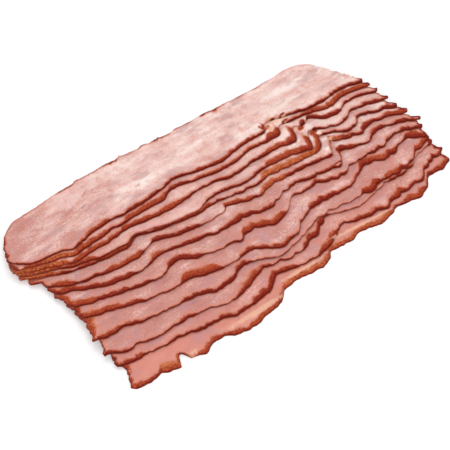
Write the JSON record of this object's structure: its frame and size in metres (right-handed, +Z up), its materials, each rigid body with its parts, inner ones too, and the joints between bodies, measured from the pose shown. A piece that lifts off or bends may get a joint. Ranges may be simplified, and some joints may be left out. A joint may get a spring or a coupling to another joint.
{
  "type": "smoked turkey rashers",
  "caption": "Fan of thin smoked turkey rashers lying shingled in cut order, each with a wavy browned front edge and its back edge on the table.",
  "frame": {"origin": "centre of the fan's bounding box on the plane that it rests on", "axes": "+X along the rashers, towards the end that is on the right when seen from the fan's front; +Y from the front of the fan, where the browned edges show, to its back; +Z up"},
  "size_m": [0.2595, 0.1477, 0.0149],
  "materials": {
    "turkey_meat_01": null,
    "turkey_meat_02": null,
    "turkey_meat_03": null,
    "turkey_meat_04": null,
    "turkey_meat_05": null,
    "turkey_meat_06": null,
    "turkey_meat_07": null,
    "turkey_meat_08": null,
    "turkey_meat_09": null,
    "turkey_meat_10": null,
    "turkey_meat_11": null,
    "turkey_meat_12": null,
    "turkey_meat_13": null
  },
  "bodies": {
    "root": {"rasher_01": "turkey_meat_01", "rasher_02": "turkey_meat_02", "rasher_03": "turkey_meat_03", "rasher_04": "turkey_meat_04", "rasher_05": "turkey_meat_05", "rasher_06": "turkey_meat_06", "rasher_07": "turkey_meat_07", "rasher_08": "turkey_meat_08", "rasher_09": "turkey_meat_09", "rasher_10": "turkey_meat_10", "rasher_11": "turkey_meat_11", "rasher_12": "turkey_meat_12", "rasher_13": "turkey_meat_13"}
  },
  "joints": []
}
